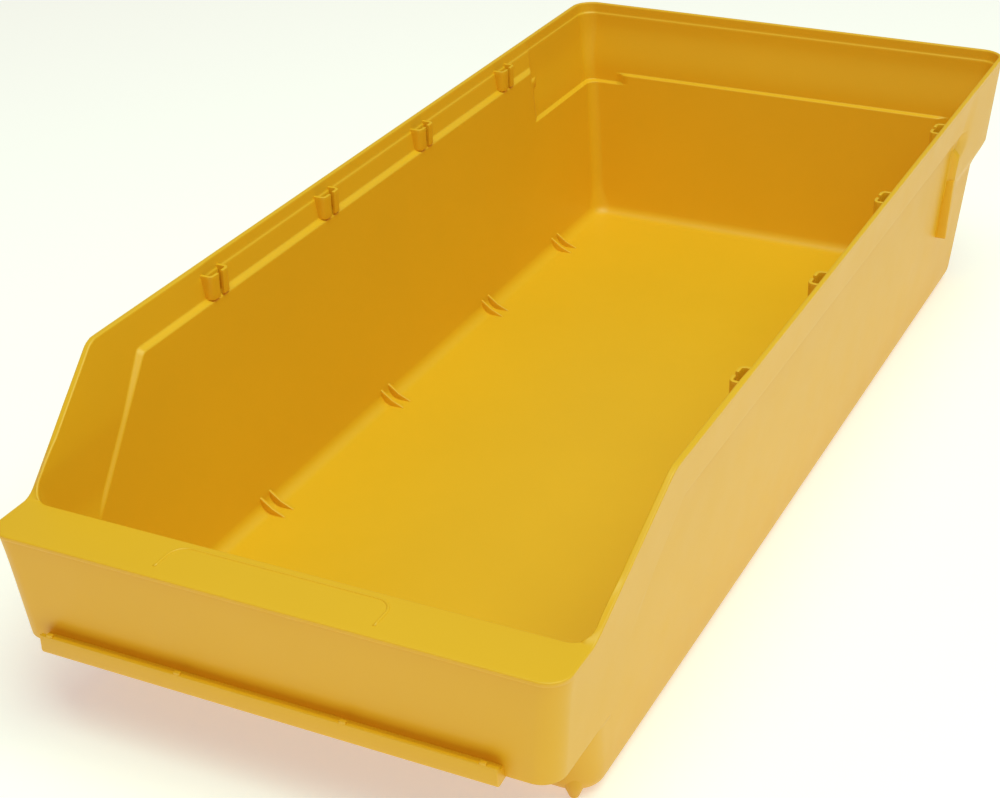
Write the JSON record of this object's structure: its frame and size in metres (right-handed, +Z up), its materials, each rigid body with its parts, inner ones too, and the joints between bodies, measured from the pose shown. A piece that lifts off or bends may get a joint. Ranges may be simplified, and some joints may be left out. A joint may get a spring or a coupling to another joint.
{
  "type": "stackable storage bin",
  "caption": "Open-front stackable storage bin with a low lip, a label rail, a stepped rear skirt and moulded guides for dividers.",
  "frame": {"origin": "centre of the overall base, on the surface that the bin stands on", "axes": "+Z up, -Y out of the open low front, X across the width"},
  "size_m": [0.222, 0.5, 0.112],
  "materials": {
    "yellow_plastic": "satin"
  },
  "bodies": {
    "root": {"floor_panel": "yellow_plastic", "left_side_wall": "yellow_plastic", "right_side_wall": "yellow_plastic", "left_rim_band": "yellow_plastic", "right_rim_band": "yellow_plastic", "left_cheek": "yellow_plastic", "right_cheek": "yellow_plastic", "left_skirt_side": "yellow_plastic", "right_skirt_side": "yellow_plastic", "rear_wall": "yellow_plastic", "rear_left_corner": "yellow_plastic", "rear_right_corner": "yellow_plastic", "rear_skirt": "yellow_plastic", "left_skirt_corner": "yellow_plastic", "right_skirt_corner": "yellow_plastic", "left_skirt_rib": "yellow_plastic", "right_skirt_rib": "yellow_plastic", "front_wall": "yellow_plastic", "front_left_corner": "yellow_plastic", "front_right_corner": "yellow_plastic", "front_lip": "yellow_plastic", "front_apron": "yellow_plastic", "left_apron_end": "yellow_plastic", "right_apron_end": "yellow_plastic", "label_rail": "yellow_plastic", "left_front_foot": "yellow_plastic", "right_front_foot": "yellow_plastic", "upper_guide_left_1": "yellow_plastic", "upper_guide_left_2": "yellow_plastic", "upper_guide_left_3": "yellow_plastic", "upper_guide_left_4": "yellow_plastic", "upper_guide_right_1": "yellow_plastic", "upper_guide_right_2": "yellow_plastic", "upper_guide_right_3": "yellow_plastic", "upper_guide_right_4": "yellow_plastic", "lower_ribs_left_1": "yellow_plastic", "lower_ribs_left_2": "yellow_plastic", "lower_ribs_left_3": "yellow_plastic", "lower_ribs_left_4": "yellow_plastic", "lower_ribs_right_1": "yellow_plastic", "lower_ribs_right_2": "yellow_plastic", "lower_ribs_right_3": "yellow_plastic", "lower_ribs_right_4": "yellow_plastic"}
  },
  "joints": []
}
